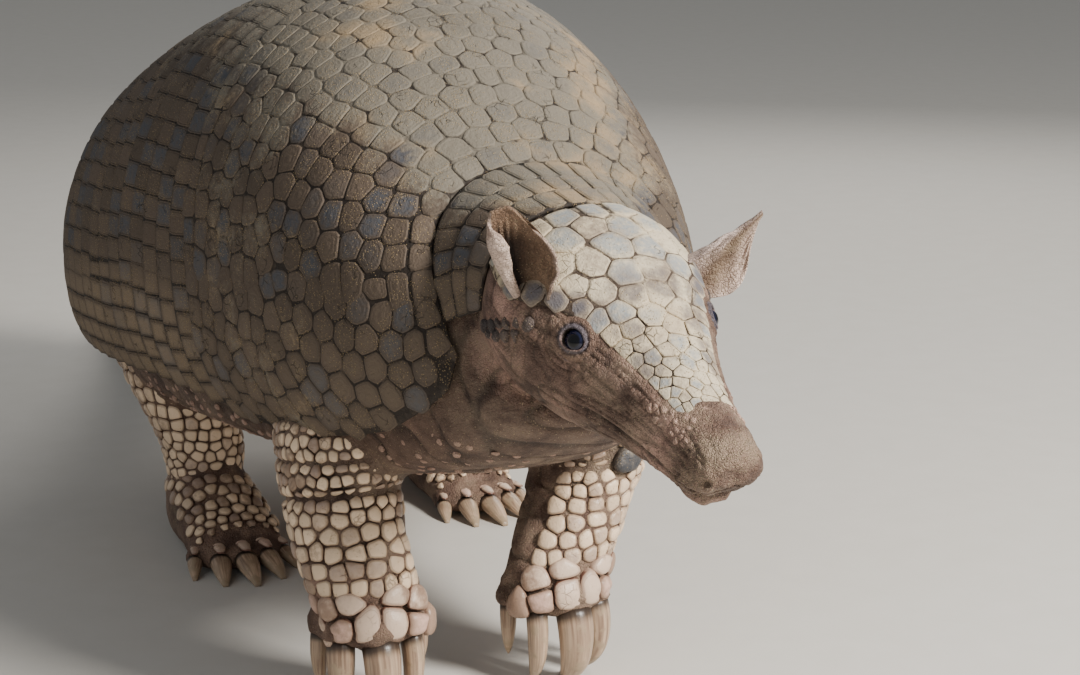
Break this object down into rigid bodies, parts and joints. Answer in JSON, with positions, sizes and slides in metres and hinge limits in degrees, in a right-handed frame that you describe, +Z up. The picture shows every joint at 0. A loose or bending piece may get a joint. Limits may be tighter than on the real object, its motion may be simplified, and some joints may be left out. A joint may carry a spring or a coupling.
{
  "type": "giant armadillo figure",
  "caption": "Life-size still model of a standing giant armadillo with head lowered, plated back, long digging claws and tapering tail resting on the floor.",
  "frame": {"origin": "centre of the model's outline on the floor it stands on", "axes": "-Y the way the animal faces, +X to its left side, +Z up"},
  "size_m": [0.3985, 1.4448, 0.4481],
  "materials": {
    "shell": "dry horny scutes over bone, dusted with earth",
    "head_scute": "dry horny head scutes, dusted with pale clay",
    "skin": "bare wrinkled skin",
    "belly_skin": "bare folded skin with rows of small scales",
    "leg_scale": "pebbled horny scales, polished where they wear",
    "tail_scale": "small horny scales",
    "claw_horn": "worn horn, satin",
    "eye": "wet, glossy"
  },
  "bodies": {
    "root": {"shoulder_shield": "shell", "hip_shield": "shell", "back_band_01": "shell", "back_band_02": "shell", "back_band_03": "shell", "back_band_04": "shell", "back_band_05": "shell", "back_band_06": "shell", "back_band_07": "shell", "back_band_08": "shell", "back_band_09": "shell", "back_band_10": "shell", "back_band_11": "shell", "back_band_12": "shell", "neck_band_1": "shell", "neck_band_2": "shell", "neck_band_3": "shell", "head_shield": "head_scute", "head": "skin", "neck": "skin", "ear_left": "skin", "ear_right": "skin", "trunk": "belly_skin", "front_leg_left": "leg_scale", "front_leg_right": "leg_scale", "front_foot_left": "leg_scale", "front_foot_right": "leg_scale", "hind_leg_left": "leg_scale", "hind_leg_right": "leg_scale", "hind_foot_left": "leg_scale", "hind_foot_right": "leg_scale", "tail_base": "tail_scale", "tail_tip": "tail_scale", "front_claw_left_1": "claw_horn", "front_claw_left_2": "claw_horn", "front_claw_left_3": "claw_horn", "front_claw_left_4": "claw_horn", "front_claw_left_5": "claw_horn", "front_claw_right_1": "claw_horn", "front_claw_right_2": "claw_horn", "front_claw_right_3": "claw_horn", "front_claw_right_4": "claw_horn", "front_claw_right_5": "claw_horn", "hind_claw_left_1": "claw_horn", "hind_claw_left_2": "claw_horn", "hind_claw_left_3": "claw_horn", "hind_claw_left_4": "claw_horn", "hind_claw_left_5": "claw_horn", "hind_claw_right_1": "claw_horn", "hind_claw_right_2": "claw_horn", "hind_claw_right_3": "claw_horn", "hind_claw_right_4": "claw_horn", "hind_claw_right_5": "claw_horn", "eye_left": "eye", "eye_right": "eye"}
  },
  "joints": []
}
